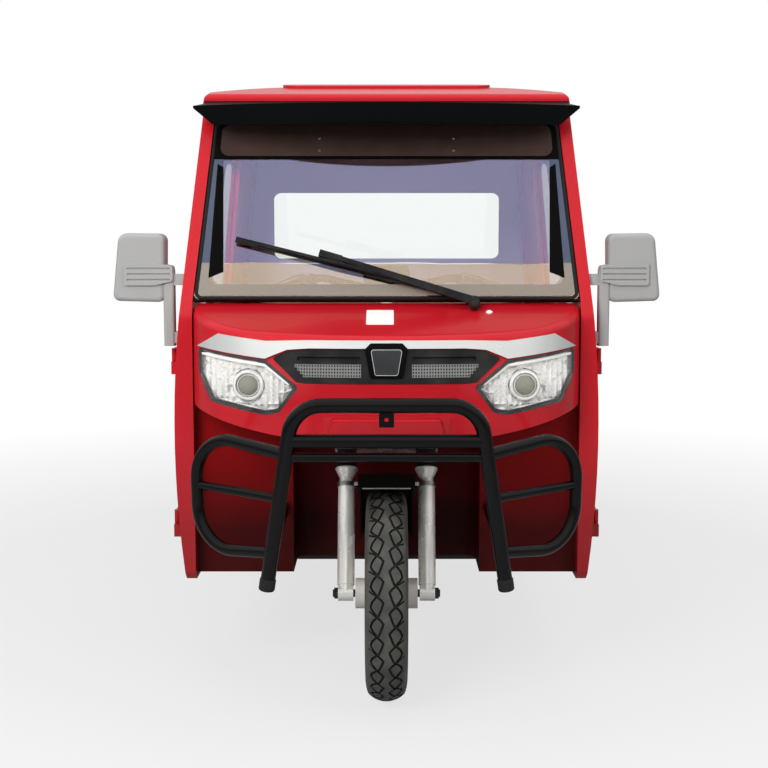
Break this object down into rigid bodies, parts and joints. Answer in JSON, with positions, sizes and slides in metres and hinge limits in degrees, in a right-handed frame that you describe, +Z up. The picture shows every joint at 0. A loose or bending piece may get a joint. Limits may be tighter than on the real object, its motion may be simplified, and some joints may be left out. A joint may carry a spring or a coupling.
{
  "type": "electric tricycle",
  "caption": "Closed-cab electric tricycle with a steered front wheel, hinged cab doors, bull bar and a dropside load bed over a driven rear axle.",
  "frame": {"origin": "on the ground under the middle of the bounding box", "axes": "+Z up, the vehicle faces -Y, +X is its left side"},
  "size_m": [1.4742, 3.311, 1.6779],
  "materials": {
    "red_paint": "gloss",
    "gloss_black": "gloss",
    "chassis_black": "satin",
    "silver_paint": "gloss",
    "black_plastic": "matte",
    "grey_plastic": "matte",
    "dark_plastic": "satin",
    "bright_trim": "polished",
    "window_glass": "polished",
    "lamp_lens": "polished",
    "red_lens": "gloss",
    "mirror_face": "polished",
    "tyre_rubber": "matte",
    "seat_vinyl": "satin",
    "motor_alloy": "cast",
    "spring_steel": "dark",
    "battery_case": "matte"
  },
  "bodies": {
    "chassis": {"chassis_frame": "chassis_black", "cab_floor": "chassis_black", "front_bulkhead": "red_paint", "left_side_frame": "red_paint", "right_side_frame": "red_paint", "roof": "red_paint", "rear_wall": "red_paint", "windscreen_frame": "black_plastic", "windscreen": "window_glass", "rear_window": "window_glass", "sun_visor": "black_plastic", "nose_panel": "red_paint", "headlamp_buckets": "dark_plastic", "headlamp_lenses": "lamp_lens", "nose_trim_bar": "bright_trim", "grille": "black_plastic", "badge_plate": "bright_trim", "bull_bar": "gloss_black", "wiper": "black_plastic", "left_mirror": "grey_plastic", "right_mirror": "grey_plastic", "mirror_glass": "mirror_face", "seat_base": "chassis_black", "seat_cushion": "seat_vinyl", "seat_back": "seat_vinyl", "battery_pack": "battery_case", "dashboard": "dark_plastic", "foot_brake": "chassis_black", "rear_axle": "chassis_black", "drive_motor": "motor_alloy", "leaf_springs": "spring_steel", "rear_mudguards": "black_plastic", "bed_floor": "red_paint", "bed_headboard": "red_paint", "tail_lamps": "red_lens", "rear_bumper": "gloss_black"},
    "steering": {"front_fork": "silver_paint", "front_axle": "spring_steel", "front_mudguard": "black_plastic", "handlebar": "gloss_black"},
    "front_wheel": {"front_rim": "silver_paint", "front_tyre": "tyre_rubber"},
    "rear_left_wheel": {"rear_left_rim": "silver_paint", "rear_left_tyre": "tyre_rubber"},
    "rear_right_wheel": {"rear_right_rim": "silver_paint", "rear_right_tyre": "tyre_rubber"},
    "left_door": {"left_door": "red_paint", "left_door_glass": "window_glass"},
    "right_door": {"right_door": "red_paint", "right_door_glass": "window_glass"},
    "left_gate": {"left_gate": "red_paint"},
    "right_gate": {"right_gate": "red_paint"},
    "tailgate": {"tailgate": "red_paint"}
  },
  "joints": [
    {"name": "steering_turn", "type": "hinge", "parent": "chassis", "child": "steering", "pos_m": [0, -1.2664, 0.2617], "axis": [0, 0.4067, 0.9135], "range_deg": [-38, 38]},
    {"name": "front_wheel_spin", "type": "hinge", "parent": "steering", "child": "front_wheel", "pos_m": [0, -1.3075, 0.28], "axis": [1, 0, 0], "continuous": true},
    {"name": "rear_left_wheel_spin", "type": "hinge", "parent": "chassis", "child": "rear_left_wheel", "pos_m": [0.48, 0.8425, 0.28], "axis": [1, 0, 0], "continuous": true},
    {"name": "rear_right_wheel_spin", "type": "hinge", "parent": "chassis", "child": "rear_right_wheel", "pos_m": [-0.48, 0.8425, 0.28], "axis": [1, 0, 0], "continuous": true},
    {"name": "left_door_hinge", "type": "hinge", "parent": "chassis", "child": "left_door", "pos_m": [0.581, -1.1065, 0.65], "axis": [0, 0, -1], "range_deg": [0, 70]},
    {"name": "right_door_hinge", "type": "hinge", "parent": "chassis", "child": "right_door", "pos_m": [-0.581, -1.1065, 0.65], "axis": [0, 0, 1], "range_deg": [0, 70]},
    {"name": "left_gate_hinge", "type": "hinge", "parent": "chassis", "child": "left_gate", "pos_m": [0.611, 0.8935, 0.6053], "axis": [0, 1, 0], "range_deg": [0, 175]},
    {"name": "right_gate_hinge", "type": "hinge", "parent": "chassis", "child": "right_gate", "pos_m": [-0.611, 0.8935, 0.6053], "axis": [0, -1, 0], "range_deg": [0, 175]},
    {"name": "tailgate_hinge", "type": "hinge", "parent": "chassis", "child": "tailgate", "pos_m": [0, 1.6475, 0.6053], "axis": [-1, 0, 0], "range_deg": [0, 175]}
  ]
}
